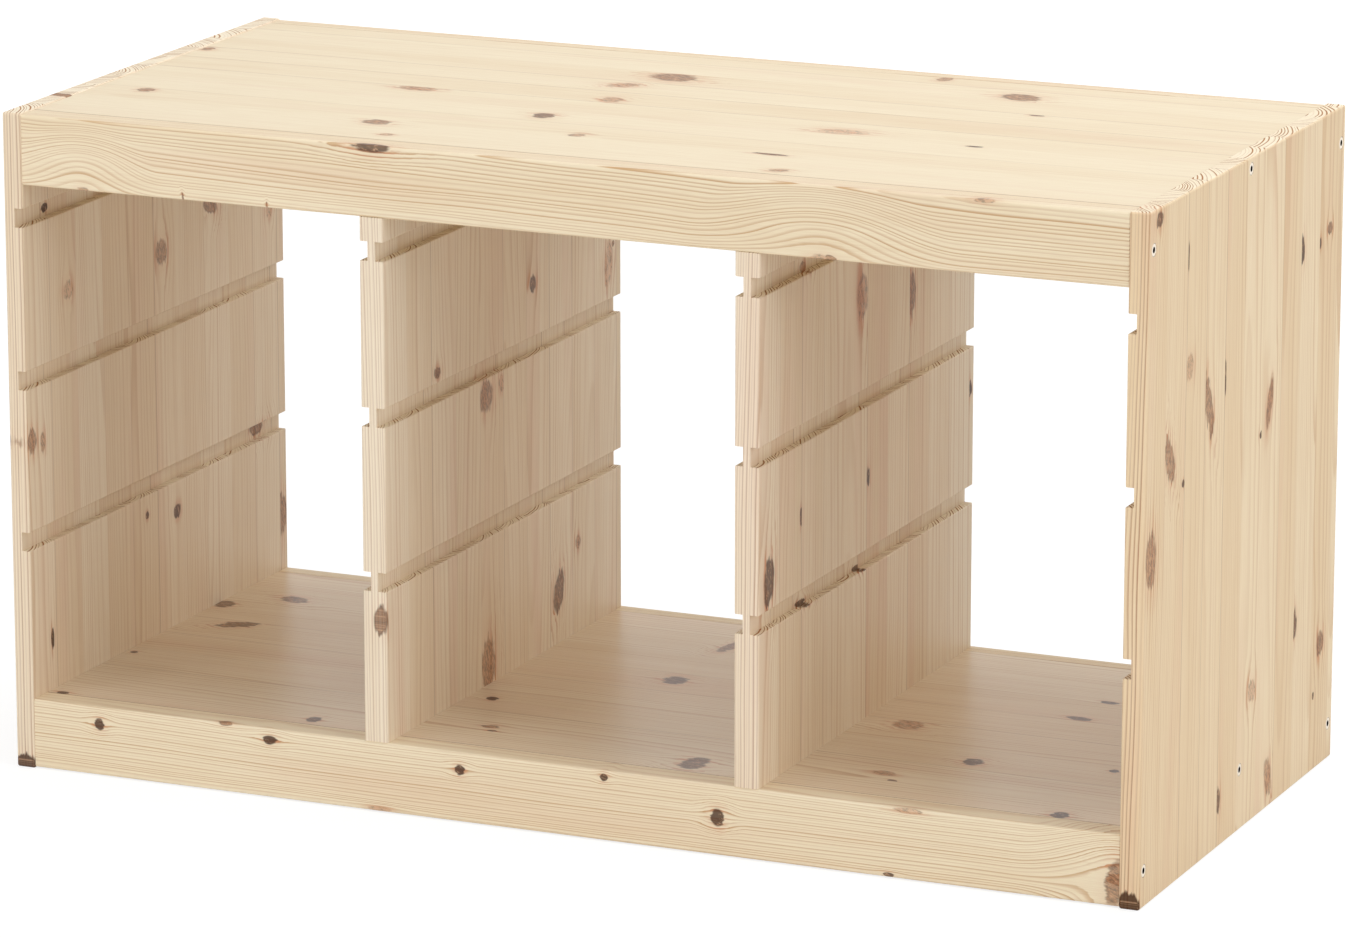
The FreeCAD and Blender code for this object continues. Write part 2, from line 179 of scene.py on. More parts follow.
# How finely each pattern runs along the grain, across it and through the board, per metre.
WAVE_GRAIN = (2.2, 16.0, 16.0)
CLOUD_GRAIN = (4.0, 40.0, 40.0)
FIBRE_GRAIN = (22.0, 1100.0, 1100.0)
BLUSH_GRAIN = (2.5, 30.0, 30.0)
SHAKE_GRAIN = (90.0, 380.0, 380.0)
# How far the rings wander, in metres, and how much they lean over a metre of board.
WANDER = 0.012
LEAN_ACROSS, LEAN_DEEP = 0.03, 0.04
# How far apart the logs lie in the noise.
LOGS_APART = 40.0
# The part of a year's ring at which the late wood starts, and at which it is darkest.
LATE_FROM, LATE_DARKEST = 0.40, 0.92


def make_grain_group():
    """Sawn pine: growth rings round a pith that lies outside the board, cut by whatever face is
    seen."""
    inputs = [("Place", "Vector"), ("Across", "Float"), ("Stave", "Float"), ("Seed", "Float"),
              ("Ring", "Float"), ("Pith across", "Float"), ("Pith deep", "Float"),
              ("Swerve", "Float")]
    outputs = [("Ring line", "Float"), ("Cloud", "Float"), ("Fibre", "Float"),
               ("Stave tone", "Float"), ("Blush", "Float")]
    tree, s, start, end = new_group("pine_grain", inputs, outputs)
    along, _, deep = s.split(start["Place"])
    first = s.dice(start["Stave"], start["Seed"], 0.5)
    second = s.dice(start["Stave"], start["Seed"], 7.5)
    # Each stave comes from another log, so that its noise is read from another place.
    jump = s.vector("SCALE", s.join(first[0], first[1], first[2]))
    jump.node.inputs["Scale"].default_value = LOGS_APART

    def pattern(grain):
        return s.vector("ADD", s.vector("MULTIPLY", start["Place"], grain), jump)

    slow = pattern(WAVE_GRAIN)
    wave = s.add("TexNoise", {"Vector": slow, "Scale": 1.0, "Detail": 2.0}).outputs["Color"]
    wave_across, wave_deep, _ = s.split(wave)
    wave_across = s.sum("MULTIPLY_ADD", wave_across, WANDER, -WANDER / 2)
    wave_deep = s.sum("MULTIPLY_ADD", wave_deep, WANDER, -WANDER / 2)
    # The pith lies to one side of the stave and behind it, so that the ends show slanting rings.
    side = s.sum("MULTIPLY_ADD", first[0], 2.0, -1.0)
    side = s.sum("MULTIPLY_ADD", s.sum("SIGN", side), 0.45, side)
    pith_across = s.sum("MULTIPLY", side, start["Pith across"])
    pith_deep = s.sum("MULTIPLY", s.sum("ADD", first[1], 0.35), start["Pith deep"])
    lean = s.sum("MULTIPLY_ADD", first[2], LEAN_ACROSS, -LEAN_ACROSS / 2)
    lean_across = s.sum("MULTIPLY", along, lean)
    lean = s.sum("MULTIPLY_ADD", second[0], LEAN_DEEP, -LEAN_DEEP / 2)
    lean_deep = s.sum("MULTIPLY", along, lean)
    across = s.sum("SUBTRACT", start["Across"], start["Swerve"])
    across = s.sum("ADD", s.sum("ADD", across, pith_across), s.sum("ADD", lean_across, wave_across))
    depth = s.sum("ADD", s.sum("ADD", deep, pith_deep), s.sum("ADD", lean_deep, wave_deep))
    distance = s.vector("LENGTH", s.join(across, depth, 0.0))
    # A log's rings are from three quarters to one and a quarter of the usual width.
    width = s.sum("MULTIPLY", start["Ring"], s.sum("MULTIPLY_ADD", second[1], 0.5, 0.75))
    rings = s.sum("DIVIDE", distance, width)
    inputs = {"W": s.sum("ADD", rings, start["Seed"]), "Scale": 0.31, "Detail": 1.0}
    uneven = s.add("TexNoise", inputs, noise_dimensions="1D").outputs["Fac"]
    rings = s.sum("MULTIPLY_ADD", uneven, 1.4, rings)
    year = s.sum("FLOOR", rings)
    part = s.sum("FRACT", rings)
    darker = s.fade(part, LATE_FROM, LATE_DARKEST)
    late = s.sum("MULTIPLY", darker, s.fade(part, LATE_DARKEST, 1.0, 1.0, 0.0))
    # Most years leave a faint line, and a few a strong one.
    strong = s.dice(year, start["Seed"], start["Stave"])[0]
    strong = s.sum("MULTIPLY_ADD", s.sum("POWER", strong, 1.6), 0.7, 0.3)
    s.feed(end["Ring line"], s.sum("MULTIPLY", late, strong))
    s.feed(end["Cloud"], s.noise(pattern(CLOUD_GRAIN), 1.0, 3.0, 0.55))
    s.feed(end["Fibre"], s.noise(pattern(FIBRE_GRAIN), 1.0, 2.0, 0.6))
    s.feed(end["Stave tone"], second[2])
    s.feed(end["Blush"], s.noise(pattern(BLUSH_GRAIN), 1.0, 1.0))
    return tree


KNOT = make_knot_group("pine_knot", True)
SWELL = make_knot_group("pine_swell", False)
GRAIN = make_grain_group()

# Pine under a clear satin lacquer: early wood, from pale to warm, ring lines and pink patches.
EARLY_PALE = paint(243, 226, 194)
EARLY_WARM = paint(234, 212, 176)
LATE = paint(196, 152, 104)
BLUSH = paint(226, 188, 158)
# Sawn ends, and the ring lines there and on the narrow edges.
END_PALE = paint(255, 245, 222)
END_LATE = paint(164, 108, 56)
EDGE_LATE = paint(170, 124, 98)
# The glue lines between staves, and the seams between the panels and the rails.
JOINT = paint(150, 108, 74)
# A knot's heart from the palest to the darkest, and its rim, its pale streaks and its stain.
KNOT_TONES = ((0.0, paint(224, 172, 134)), (0.35, paint(194, 138, 98)),
              (0.7, paint(163, 112, 75)), (1.0, paint(80, 50, 28)))
KNOT_RIM = paint(73, 42, 23)
KNOT_GLINT = paint(216, 170, 132)
HALO = paint(206, 142, 104)
# Distances from a knot's middle, where 1 is its edge.
HEART_SOLID, HEART_GONE = 0.82, 1.12
RIM_FROM, RIM_DARKEST, RIM_TO = 0.66, 0.92, 1.08
HALO_FROM, HALO_TO = 0.9, 2.2
RINGS_STRONG, RINGS_USUAL = 1.0, 4.0
# The streaks in a knot slant: how finely they run one way and the other.
STREAK_FINE = (170.0, 420.0, 0.0)
STREAK_LONG = (120.0, -90.0, 0.0)
HOOPS_PER_KNOT = 3.6


def tinted(colour, tint):
    return tuple(channel * share for channel, share in zip(colour, tint)) + (1.0,)


def direction(letter):
    return tuple(1.0 if name == letter else 0.0 for name in "XYZ")


def knot_axes(half_x, half_y, turn, depth):
    """What a place's offset is measured along: the knot's length, its width and its depth, each
    1 at its edge."""
    turn = math.radians(turn)
    long = (math.cos(turn) / (half_x * MM), math.sin(turn) / (half_x * MM), 0.0)
    wide = (-math.sin(turn) / (half_y * MM), math.cos(turn) / (half_y * MM), 0.0)
    return {"Long axis": long, "Wide axis": wide, "Deep axis": (0.0, 0.0, 1.0 / (depth * MM))}


def lay_knots(s, place, number, knots, swells, stave, first_stave, limit):
    """Lays one group after another for the swells and the knots. Gives the distance from the
    nearest knot, its tone, and how far the rings are pushed across. limit is where the board's
    narrow edge starts."""
    uneven = s.add("TexNoise", {"Vector": s.vector("MULTIPLY", place, SHAKE_GRAIN), "Scale": 1.0,
                                "Detail": 2.0}).outputs["Color"]
    shake = s.vector("SUBTRACT", uneven, (0.5, 0.5, 0.5))
    nearest, tone, swerve = NO_KNOT, 0.5, 0.0
    for knot in (*swells, *knots):
        seen = len(knot) > 5
        x, y, half_x, half_y = knot[:4]
        turn, own_tone = knot[4:6] if seen else (0.0, 0.0)
        # The rings would fold over where two pushes add up to more than 1, and at a board's
        # narrow edges they run straight past the knots.
        crowded = any(math.hypot((x - a) / c, (y - b) / d) < 1.5 for a, b, c, d, _ in swells)
        crowded = crowded or abs(y) + 1.2 * half_y > limit
        push = (CROWDED_PUSH if crowded else KNOT_PUSH) if seen else knot[4]
        middle, depth = knot[6:8] if len(knot) > 6 else (0.0, THROUGH)
        values = {"Place": place, "Stave": number, "Swerve": swerve, "Lift": half_y * MM * push,
                  "Centre": (x * MM, y * MM, middle * MM),
                  "Own stave": math.floor((y - first_stave) / stave) if stave else 0.0}
        values.update(knot_axes(half_x, half_y, turn, depth))
        if seen:
            values.update({"Nearest": nearest, "Tone": tone, "Own tone": own_tone, "Shake": shake,
                           "Grip": (1.1 * half_x * MM, 0.55 * half_y * MM, 0.0)})
        node = s.add("Group", {}, node_tree=KNOT if seen else SWELL)
        for label, value in values.items():
            s.feed(node.inputs[label], value)
        swerve = node.outputs["Swerve"]
        if seen:
            nearest, tone = node.outputs["Nearest"], node.outputs["Tone"]
    return nearest, tone, swerve


def draw_knots(s, colour, place, nearest, tone, line, calm):
    """A halo of stained grain, a dark rim, and slanting streaks and rings inside. calm weakens
    the stain."""
    stain = s.fade(nearest, HALO_FROM, HALO_TO, 0.75, 0.0)
    halo = s.sum("MULTIPLY", stain, s.sum("MULTIPLY_ADD", line, 1.2, 0.14))
    halo = s.sum("MULTIPLY", halo, calm)
    colour = s.blend(halo, colour, HALO)
    heart = s.ramp(tone, KNOT_TONES)
    slant = s.join(s.vector("DOT_PRODUCT", place, STREAK_FINE),
                   s.vector("DOT_PRODUCT", place, STREAK_LONG), 0.0)
    hoops = s.sum("FRACT", s.sum("MULTIPLY", nearest, HOOPS_PER_KNOT))
    hoops = s.fade(hoops, 0.2, 0.95, 0.0, 0.2)
    streaks = s.noise(slant, 1.0, 3.0, 0.75)
    hoops = s.sum("ADD", hoops, s.fade(streaks, 0.46, 0.60, 0.0, 0.8), clamp=True)
    heart = s.blend(s.fade(streaks, 0.34, 0.46, 0.6, 0.0), heart, KNOT_GLINT)
    heart = s.blend(hoops, heart, KNOT_RIM)
    inner = s.fade(nearest, RIM_FROM, RIM_DARKEST)
    rim = s.sum("MULTIPLY", inner, s.fade(nearest, RIM_DARKEST, RIM_TO, 1.0, 0.0))
    heart = s.blend(s.sum("MULTIPLY", rim, s.sum("MULTIPLY_ADD", tone, 0.6, 0.05)), heart, KNOT_RIM)
    inside = s.fade(nearest, HEART_SOLID, HEART_GONE, 1.0, 0.0)
    solid = s.sum("MULTIPLY", inside, s.sum("MULTIPLY_ADD", tone, 0.4, 0.5), clamp=True)
    return s.blend(solid, colour, heart)


def pine(name, order, seed, core, knots, swells=(), stave=0.0, first_stave=0.0, ring=2.5,
         pith=(0.05, 0.045), contrast=0.45, edge_contrast=0.0, warmth=0.5, blushing=0.4, gloss=0.3,
         rough=0.42, tint=(1.0, 1.0, 1.0), seams=()):
    """A pine board's material. order says which of x, y and z run along the grain, across it and
    through the board, and core is where its middle lies across and through. Each knot is (along,
    across, half length, half width, turn, tone) in millimetres and degrees, and then, where it
    doesn't go through the whole board, its middle and half depth. Each swell is (along, across,
    half length, half width, push). stave is the width of one stave, and first_stave is where one
    of them starts. edge_contrast is how much more strongly the ring lines show on the narrow edges
    than on the faces. seams are the lines along the board where its edges meet the rails."""
    material, s = new_material(name)
    place = s.split(s.add("TexCoord", {}).outputs["Object"])
    along, across, deep = (place["XYZ".index(letter)] for letter in order)
    place = s.join(along, across, deep)
    if stave:
        strip = s.sum("DIVIDE", s.sum("SUBTRACT", across, first_stave * MM), stave * MM)
        number = s.sum("FLOOR", strip)
        off_middle = s.sum("SUBTRACT", s.sum("FRACT", strip), 0.5)
        inside = s.sum("MULTIPLY", off_middle, stave * MM)
        edge = s.sum("ABSOLUTE", inside)
        joint = s.fade(edge, (stave / 2 - 0.6) * MM, (stave / 2 - 0.1) * MM)
        plain_joint = s.dice(s.sum("ROUND", strip), seed, 3.5)[0]
    else:
        number, inside, joint = 0.0, s.sum("SUBTRACT", across, core[0] * MM), 0.0

    limit = EDGE_ZONE if order == "ZYX" else math.inf
    nearest, tone, swerve = lay_knots(s, place, number, knots, swells, stave, first_stave, limit)

    grain = s.add("Group", {}, node_tree=GRAIN)
    board = s.join(along, across, s.sum("SUBTRACT", deep, core[1] * MM))
    values = {"Place": board, "Across": inside, "Stave": number, "Seed": seed, "Ring": ring * MM,
              "Pith across": pith[0], "Pith deep": pith[1], "Swerve": swerve}
    for label, value in values.items():
        s.feed(grain.inputs[label], value)
    line, cloud, fibre, stave_tone, blush = grain.outputs

    facing = s.add("TexCoord", {}).outputs["Normal"]
    end = s.sum("ABSOLUTE", s.vector("DOT_PRODUCT", facing, direction(order[0])))
    end = s.fade(end, 0.75, 0.97)
    narrow = s.sum("ABSOLUTE", s.vector("DOT_PRODUCT", facing, direction(order[1])))

    pale, strong_warm, late, pink = (tinted(colour, tint)
                                     for colour in (EARLY_PALE, EARLY_WARM, LATE, BLUSH))
    clouded = s.sum("MULTIPLY", cloud, 0.9)
    warm = s.sum("ADD", clouded, s.sum("MULTIPLY_ADD", stave_tone, 0.6, warmth - 0.745))
    colour = s.blend(s.fade(warm, 0.1, 0.9), pale, strong_warm)
    colour = s.blend(s.fade(blush, 0.50, 0.80, 0.0, blushing), colour, pink)
    # The rings are drawn more strongly round a knot, but hardly so on a narrow edge.
    by_knot = s.fade(nearest, RINGS_STRONG, RINGS_USUAL, 0.35, 0.0)
    calm = s.sum("MULTIPLY_ADD", narrow, -0.75, 1.0) if edge_contrast else 1.0
    by_knot = s.sum("MULTIPLY", by_knot, calm)
    colour = s.blend(s.sum("MULTIPLY", end, 0.8), colour, END_PALE)
    amount = s.sum("ADD", s.sum("MULTIPLY_ADD", narrow, edge_contrast, contrast), by_knot)
    line_colour = s.blend(narrow, late, EDGE_LATE) if edge_contrast else late
    colour = s.blend(s.sum("MULTIPLY", line, amount, clamp=True), colour, line_colour)
    # A sawn end shows the rings far more strongly than a face does.
    colour = s.blend(s.sum("MULTIPLY", s.fade(line, 0.2, 0.62), end), colour, END_LATE)
    colour = s.blend(s.fade(fibre, 0.30, 0.75, 0.0, 0.16), colour, late)
    if stave:
        # Some of the glue lines hardly show.
        amount = s.sum("MULTIPLY", joint, s.fade(plain_joint, 0.3, 1.0, 0.04, 0.6))
        colour = s.blend(amount, colour, JOINT)
    for seam in seams:
        beyond = s.sum("MULTIPLY", across, math.copysign(1.0, seam))
        shade = s.fade(beyond, (abs(seam) - 1.5) * MM, (abs(seam) - 0.4) * MM, 0.0, 0.65)
        colour = s.blend(shade, colour, JOINT)
    colour = draw_knots(s, colour, place, nearest, tone, line, calm)

    rough = s.sum("MULTIPLY_ADD", fibre, 0.12, rough)
    rough = s.sum("ADD", rough, s.sum("MULTIPLY", end, 0.25))
    height = s.sum("SUBTRACT", fibre, s.sum("MULTIPLY", joint, 0.8))
    bump = s.add("Bump", {"Strength": 0.25, "Distance": 0.0004, "Height": height})
    s.surface({"Base Color": colour, "Roughness": rough, "Normal": bump.outputs[0],
               "Specular IOR Level": gloss})
    return material


TOP_KNOTS = (
    (-52, 118, 20, 14, -8, 0.7), (-76, 73, 13, 8, 32, 0.3), (-60, 15, 9, 10, 30, 0.3),
    (-217, -3, 16, 8, 0, 0.35), (-82, -63, 9, 9, 0, 0.9), (-188, -136, 12, 9, -15, 0.65),
    (-160, -177, 6, 4, 10, 0.25), (-28, -122, 7, 6, 30, 0.45), (144, 196, 6, 8, -10, 0.55),
    (225, 150, 17, 12, -12, 0.7), (262, 88, 6, 3, 5, 0.95), (262, -42, 7, 3, 0, 1.1),
    (150, -30, 20, 9, 8, 0.0), (133, -129, 13, 4, -4, 0.9), (162, -182, 8, 5, 15, 0.45),
    (-443, 80, 5, 7, 0, 0.55), (-408, -93, 7, 7, 0, 0.65),
)
FLOOR_KNOTS = (
    (-443, 92, 9, 10, 0, 0.85), (-397, 127, 13, 9, -20, 0.8), (-404, 40, 17, 8, 35, 0.85),
    (-442, -67, 3.3, 3.3, 0, 1.0), (-437, -194, 5.5, 3.6, 0, 1.2), (-224, -183, 6, 7, 0, 1.0),
    (-123, -74.5, 5, 5, 0, 1.2), (-13, 30, 10, 11, 0, 0.95), (-91, -146, 7, 4, 10, 0.7),
    (-85.5, -156, 4, 2.3, 0, 0.85), (92, -174, 10, 17, 0, 0.9), (-12, 140, 6, 19, -12, 0.8),
    (201, -12, 12, 14, 25, 0.3), (315, 56, 10, 5, 0, 0.95), (321, 107, 8, 3.4, 0, 1.05),
    (283, -87, 8, 9, 0, 1.0), (232, -141, 10, 6, 0, 0.3), (245, -157, 4, 2.8, 0, 0.95),
    (389, -67, 4, 4, 0, 1.15), (392, -190, 7, 8, 0, 1.05),
)
RIGHT_SIDE_KNOTS = (
    (511.5, -199.5, 6.5, 7, 0, 0.9), (471, -136, 12, 1.2, 0, 1.05), (388, -129, 10, 8, 0, 0.1),
    (350, -86, 26, 8, -22, 0.6), (327, -170, 20, 8.5, -24, 0.55), (303, -140, 3, 3, 0, 1.05),
    (363, -50, 14, 1.9, 0, 1.1), (322, 53, 19, 6, 15, 0.55), (301, 33.6, 2.8, 2.8, 0, 1.15),
    (424, 122, 12, 6, 0, 1.05), (422, 165.5, 5, 2.4, 0, 1.05), (429.5, 188, 5, 6, 0, 0.75),
    (260, -207, 22, 11, 0, 0.5), (104, 24, 9, 9, 0, 0.1), (131, 122, 12, 6, 0, 0.9),
    (100, 186, 10, 8, 0, 0.7), (61, 172, 3.5, 2.2, 0, 0.95), (37, -49, 10, 5, 0, 0.9),
    (24.5, 66, 16, 8, -20, 0.35), (3, -220, 10, 3.5, 0, 1.1, 457, 10),
)
LEFT_SIDE_KNOTS = (
    (517, -141, 8, 6, 0, 0.75), (437, -173, 3.5, 5.6, 0, 1.2), (367, 5, 11, 10, 0, 0.45),
    (388, 89, 6, 13, 20, 0.65), (368, -150, 8, 8, 0, 0.0), (261, -213, 10, 7, 0, 0.55),
    (257, -196, 8, 4, 0, 0.35), (158, -27, 3, 3, 0, 0.95), (150, 24, 6, 6, 0, 0.95),
    (97, -187, 9, 2.6, 0, 1.1), (184, 178, 6, 12, 0, 0.75), (104, 209, 18, 9, 0, 0.6),
    (365, 194, 6, 6, 0, 0.0), (3, -220, 8, 3.5, 0, 1.1, -457, 10),
)
LEFT_PARTITION_KNOTS = (
    (326, -127, 5, 6, 0, 0.75), (360, 47, 7, 6, 0, 0.85), (348, 192, 18, 8, 10, 0.0),
    (362, 201, 2.5, 2.5, 0, 0.8), (288, -40, 13, 12, 0, 0.55), (293, -10, 7, 7, 0, 0.05),
    (99, 94, 17, 9.5, 16, 0.8), (131, 131, 6, 5, 0, 0.3), (73, -39, 21, 13, 0, 0.4),
    (152, -219, 12, 5, 0, 0.8, -148, 6),
)
RIGHT_PARTITION_KNOTS = (
    (391, -19, 18, 11, 0, 0.3), (373, 82, 17, 8, 0, 0.7), (247, -138, 7, 2.8, 0, 0.9),
    (247, -5, 8, 3, 0, 1.0), (269.5, 207, 7, 5, 0, 1.2), (211, -199.5, 19, 9.5, 9, 0.95),
    (176, -124, 2, 11, 0, 0.9), (176, -12, 2, 9, 0, 0.9), (434, -121, 4, 6, 0, 0.3),
)
TOP_FRONT_RAIL_KNOTS = (
    (-153, 520, 16, 7, 0, 0.95, -219, 6), (-397, 462, 6, 5, 0, 0.3), (211, 461, 10, 7, 0, 0.15),
    (-311, 466, 0.8, 4, 8, 0.7, -219, 6), (-240, 466, 0.7, 3, 0, 0.7, -219, 6),
    (219, 465, 5, 3, -20, 0.55, -219, 6), (338, 519, 9, 2.5, 0, 0.2, -219, 6),
)
BOTTOM_FRONT_RAIL_KNOTS = (
    (-392, 42, 4.4, 4.8, 0, 1.1), (-282, 55.5, 6, 1.8, 0, 0.7, -219, 6),
    (-244, 47, 6, 3.8, 0, 1.1), (-83, 42, 4.2, 4.3, 0, 1.1), (37, 50.5, 3.2, 3.0, 0, 1.1),
    (130, 30.5, 5.4, 7.2, 0, 1.05), (268, 3, 4.5, 1.8, 0, 0.95),
    (284, 54, 12, 2, 0, 0.1, -219, 6), (-151, 3, 9, 2, 0, 0.15), (446, 19, 8, 18, -8, 0.65),
)
BOTTOM_REAR_RAIL_KNOTS = (
    (-310, 20, 6, 7, 0, 0.8), (-60, 44, 5, 5, 0, 0.4), (140, 14, 8, 7, 0, 0.6),
    (352, 36, 5, 6, 0, 0.85),
)
TOP_REAR_RAIL_KNOTS = (
    (-372, 500, 10, 6, 0, 0.6), (-50, 492, 7, 8, 0, 0.85), (118, 475, 5, 5, 0, 0.4),
    (345, 503, 8, 7, 0, 0.75),
)
TOP_FRONT_RAIL_SWELLS = (
    (-397, 460, 15, 22, 0.9), (212, 460, 24, 26, 0.9),
)
BOTTOM_FRONT_RAIL_SWELLS = (
    (448, 12, 18, 26, 0.85),
)

# The sides and the partitions are glued up from staves 43 mm wide, one of which starts 180 mm
# from the middle of the frame, towards the front.
SIDE_STAVES = {"stave": 43.0, "first_stave": -180.0, "ring": 2.8, "pith": (0.03, 0.045),
               "edge_contrast": 0.35}
RAIL_GRAIN = {"ring": 1.75, "pith": (0.11, 0.09), "contrast": 0.92, "blushing": 0.3,
              "tint": (1.04, 1.075, 1.13)}
# Painted light: the left side and the partitions stand in shade, and their pine is made paler and
# bluer to lift that shade, palest on the right partition.
SHADE_LIFT_TINT = (1.04, 1.07, 1.19)
STRONG_SHADE_LIFT_TINT = (1.08, 1.13, 1.27)
PANEL_SEAMS = (-197, 203)
BOARDS = {
    "top_panel": pine(
        "top_panel_pine", "XYZ", 1.3, (0, 511), TOP_KNOTS, stave=43.3, first_stave=-170.3,
        contrast=0.13, warmth=0.2, blushing=0.2, tint=(1.0, 1.02, 1.05), seams=PANEL_SEAMS),
    "bottom_panel": pine(
        "bottom_panel_pine", "XYZ", 2.9, (0, 48), FLOOR_KNOTS, stave=52.0, first_stave=-158.0,
        contrast=0.62, blushing=0.25, gloss=0.5, rough=0.29, tint=(0.97, 0.98, 1.05),
        seams=PANEL_SEAMS),
    "side_right": pine(
        "right_side_pine", "ZYX", 3.7, (0, 457), RIGHT_SIDE_KNOTS, gloss=0.12,
        tint=(1.05, 1.02, 1.01), **SIDE_STAVES),
    # The left side and both partitions take the shade-lifting tint, which is painted light.
    "side_left": pine(
        "left_side_pine", "ZYX", 4.6, (0, -457), LEFT_SIDE_KNOTS, tint=SHADE_LIFT_TINT, **SIDE_STAVES),
    "partition_left": pine(
        "left_partition_pine", "ZYX", 5.9, (0, -153), LEFT_PARTITION_KNOTS, tint=SHADE_LIFT_TINT,
        **SIDE_STAVES),
    "partition_right": pine(
        "right_partition_pine", "ZYX", 6.8, (0, 153), RIGHT_PARTITION_KNOTS, tint=STRONG_SHADE_LIFT_TINT,
        **SIDE_STAVES),
    "top_front_rail": pine(
        "top_front_rail_pine", "XZY", 7.7, (491, -208), TOP_FRONT_RAIL_KNOTS,
        TOP_FRONT_RAIL_SWELLS, **RAIL_GRAIN),
    "bottom_front_rail": pine(
        "bottom_front_rail_pine", "XZY", 8.2, (28, -208), BOTTOM_FRONT_RAIL_KNOTS,
        BOTTOM_FRONT_RAIL_SWELLS, **RAIL_GRAIN),
    "top_rear_rail": pine(
        "top_rear_rail_pine", "XZY", 9.4, (491, 211), TOP_REAR_RAIL_KNOTS, **RAIL_GRAIN),
    "bottom_rear_rail": pine(
        "bottom_rear_rail_pine", "XZY", 10.6, (28, 211), BOTTOM_REAR_RAIL_KNOTS, **RAIL_GRAIN),
}


def beech(name):
    """Turned beech for the dowels: pinkish, with short dark flecks along it."""
    material, s = new_material(name)
    place = s.add("TexCoord", {}).outputs["Object"]
    cloud = s.noise(s.vector("MULTIPLY", place, (300.0, 300.0, 30.0)), 1.0)
    fleck = s.noise(s.vector("MULTIPLY", place, (2500.0, 2500.0, 400.0)), 1.0)
    colour = s.blend(cloud, paint(222, 186, 150), paint(204, 162, 124))
    colour = s.blend(s.fade(fleck, 0.6, 0.75, 0.0, 0.7), colour, paint(158, 112, 78))
    bump = s.add("Bump", {"Strength": 0.3, "Distance": 0.0002, "Height": fleck})
    s.surface({"Base Color": colour, "Roughness": 0.6, "Normal": bump.outputs[0]})
    return material


# How far above and below the level between them the upper and the lower screw heads lie, in
# millimetres.
HEAD_LEVEL = 231.5
# Each set of screws: how far its outer heads lie from the middle of the side, and the level midway
# between its upper and its lower heads.
RAIL_SCREWS = (211, 260)
PANEL_SCREWS = (0, 279.5)
# Distances from a head's middle, in metres: its bright face and its rim, where the shadow of the
# countersink's gap is painted on, and the ring of painted shade round the socket.
HEAD_FACE, HEAD_RIM = 0.0044, 0.0049
SOCKET_RING, SOCKET_SHADE_GONE = 0.0022, 0.0026
# Distances from the middle of the frame, in metres: a head is bright at the second, where its face
# lies, and painted dark at the first, down in its socket, as painted shade.
SOCKET_DARK, SOCKET_BRIGHT = 0.4642, 0.4647
ZINC_BRIGHT, ZINC_DULL = paint(244, 232, 214), paint(226, 214, 196)
# The painted shadow of the gap round each countersunk head.
ZINC_RIM_SHADOW = paint(116, 104, 90)
# Painted shade at the socket's mouth and down inside it.
SOCKET_SHADE, SOCKET_DEEP_SHADE = paint(30, 27, 24), paint(22, 19, 17)
TURNING_MARKS = 5200.0


def zinc(name, row, level):
    """Bright zinc plating on turned screws, with fine turning marks on each head, and painted shade
    round each head's rim and in its socket.
    """
    material, s = new_material(name)
    place = s.add("TexCoord", {}).outputs["Object"]
    x, y, z = s.split(place)
    across = s.sum("SUBTRACT", s.sum("ABSOLUTE", y), row * MM)
    off_level = s.sum("ABSOLUTE", s.sum("SUBTRACT", z, level * MM))
    up = s.sum("SUBTRACT", off_level, HEAD_LEVEL * MM)
    radius = s.vector("LENGTH", s.join(across, up, 0.0))
    mottle = s.noise(place, 900.0, 4.0, 0.6)
    colour = s.blend(mottle, ZINC_BRIGHT, ZINC_DULL)
    # Painted shadow at the head's rim, then painted shade at the socket's mouth and down in the
    # socket.
    colour = s.blend(s.fade(radius, HEAD_FACE, HEAD_RIM), colour, ZINC_RIM_SHADOW)
    colour = s.blend(s.fade(radius, SOCKET_RING, SOCKET_SHADE_GONE), SOCKET_SHADE, colour)
    depth = s.sum("ABSOLUTE", x)
    colour = s.blend(s.fade(depth, SOCKET_DARK, SOCKET_BRIGHT), SOCKET_DEEP_SHADE, colour)
    inputs = {"W": s.sum("MULTIPLY", radius, TURNING_MARKS), "Scale": 1.0, "Detail": 1.0}
    marks = s.add("TexNoise", inputs, noise_dimensions="1D").outputs["Fac"]
    rough = s.sum("MULTIPLY_ADD", mottle, 0.2, 0.24)
    bump = s.add("Bump", {"Strength": 0.2, "Distance": 0.0001, "Height": marks})
    s.surface({"Base Color": colour, "Roughness": rough, "Metallic": 1.0,
               "Normal": bump.outputs[0]})
    return material


DOWEL_BEECH = beech("dowel_beech")
RAIL_SCREW_ZINC = zinc("rail_screw_zinc", *RAIL_SCREWS)
PANEL_SCREW_ZINC = zinc("panel_screw_zinc", *PANEL_SCREWS)
for name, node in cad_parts.items():
    if name in BOARDS:
        finish = BOARDS[name]
    elif "dowels" in name:
        finish = DOWEL_BEECH
    else:
        finish = RAIL_SCREW_ZINC if name.startswith("rail") else PANEL_SCREW_ZINC
    for slot in node.material_slots:
        slot.material = finish

# The studio: a white floor that keeps a faint shadow, a white surround, and soft light from all
# round.
FLOOR_SIZE = 60.0
# The lamps light the floor within the first distance, in metres. From the second on it glows
# white by itself.
LIT_FLOOR, UNLIT_FLOOR = 0.8, 4.0
SURROUND_LIGHT = 0.3
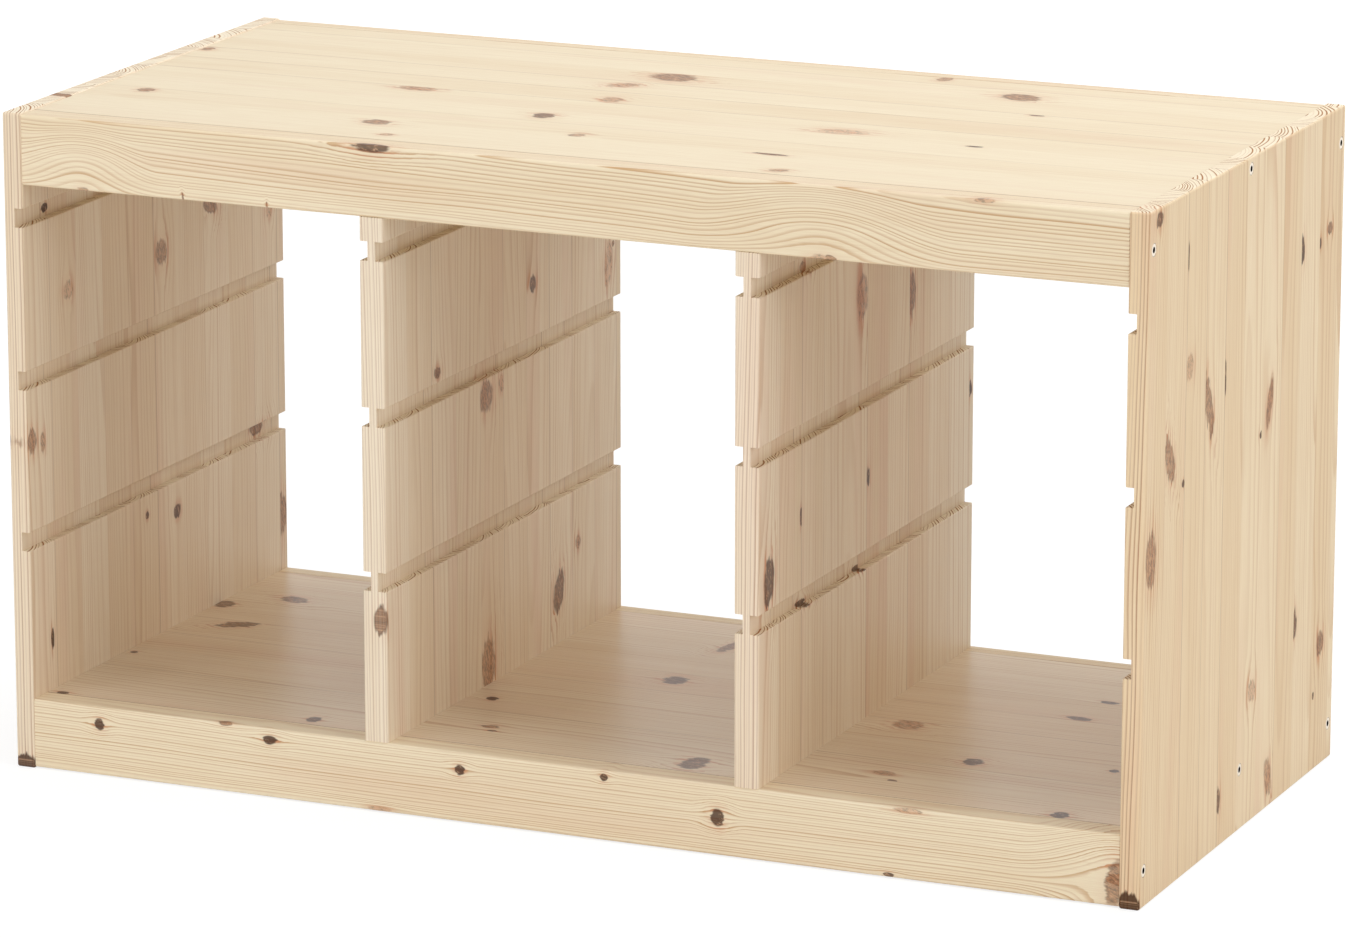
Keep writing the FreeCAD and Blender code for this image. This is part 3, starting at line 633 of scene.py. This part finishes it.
# Each lamp's place, what it points at, its width and its power in watts.
LAMPS = {
    "lamp_right": ((3.6, -0.8, 1.8), (0.4, 0.0, 0.3), 2.0, 39.5),
    "lamp_rear": ((1.4, 2.5, 2.6), (0.0, 0.0, 0.3), 2.4, 27.0),
    "lamp_high": ((0.0, 0.0, 4.0), (0.0, 0.0, 0.3), 2.4, 68.0),
    "lamp_low_left": ((-2.2, -3.2, 0.7), (0.0, 0.0, 0.3), 1.6, 39.0),
    "lamp_low_right": ((1.2, -3.8, 0.7), (0.0, 0.0, 0.3), 1.6, 27.0),
}


def seen_directly(s):
    """1 for what the camera, a mirror or clear material sees straight away, and 0 for light that
    bounces."""
    rays = s.add("LightPath", {}).outputs
    seen = s.sum("MAXIMUM", rays["Is Camera Ray"], rays["Is Glossy Ray"])
    return s.sum("MAXIMUM", seen, rays["Is Transmission Ray"])


def make_floor():
    bpy.ops.mesh.primitive_plane_add(size=FLOOR_SIZE, location=(0.0, 0.0, 0.0))
    floor = bpy.context.object
    floor.name = "studio_floor"
    material, s = new_material("studio_white")
    shadow = s.add("BsdfDiffuse", {"Color": (0.32, 0.32, 0.32, 1.0)}).outputs[0]
    distance = s.vector("LENGTH", s.add("TexCoord", {}).outputs["Object"])
    strength = s.fade(distance, LIT_FLOOR, UNLIT_FLOOR, 0.78, 1.0)
    glow = s.add("Emission", {"Color": (1.0, 1.0, 1.0, 1.0), "Strength": strength}).outputs[0]
    shown = s.add("AddShader", {0: shadow, 1: glow}).outputs[0]
    bounce = s.add("BsdfDiffuse", {"Color": paint(228, 226, 222)}).outputs[0]
    surface = s.add("MixShader", {0: seen_directly(s), 1: bounce, 2: shown}).outputs[0]
    s.add("OutputMaterial", {"Surface": surface})
    floor.data.materials.append(material)


def make_world(strength):
    world = bpy.data.worlds.new("studio_surround")
    bpy.context.scene.world = world
    world.use_nodes = True
    world.node_tree.nodes.clear()
    s = Shades(world.node_tree)
    white = s.add("Background", {"Color": (1.0, 1.0, 1.0, 1.0), "Strength": 1.0}).outputs[0]
    light = s.add("Background", {"Color": (0.98, 0.99, 1.0, 1.0), "Strength": strength}).outputs[0]
    surface = s.add("MixShader", {0: seen_directly(s), 1: light, 2: white}).outputs[0]
    s.add("OutputWorld", {"Surface": surface})


def add_lamp(name, place, aim, size, power):
    data = bpy.data.lights.new(name, "AREA")
    data.shape = "DISK"
    data.size = size
    data.energy = power
    lamp = bpy.data.objects.new(name, data)
    bpy.context.scene.collection.objects.link(lamp)
    lamp.location = place
    away = lamp.location - type(lamp.location)(aim)
    lamp.rotation_euler = away.to_track_quat("Z", "Y").to_euler()


def add_camera():
    data = bpy.data.cameras.new("photograph_camera")
    data.lens = LENS
    data.sensor_width = SENSOR_WIDTH
    data.clip_end = CAMERA_REACH
    camera = bpy.data.objects.new("photograph_camera", data)
    bpy.context.scene.collection.objects.link(camera)
    camera.location = CAMERA_PLACE
    camera.rotation_euler = (math.radians(90.0 - CAMERA_DOWN), 0.0, math.radians(CAMERA_TURN))
    bpy.context.scene.camera = camera


make_floor()
make_world(SURROUND_LIGHT)
for name, lamp in LAMPS.items():
    add_lamp(name, *lamp)
add_camera()

bpy.context.scene.view_settings.view_transform = "Standard"
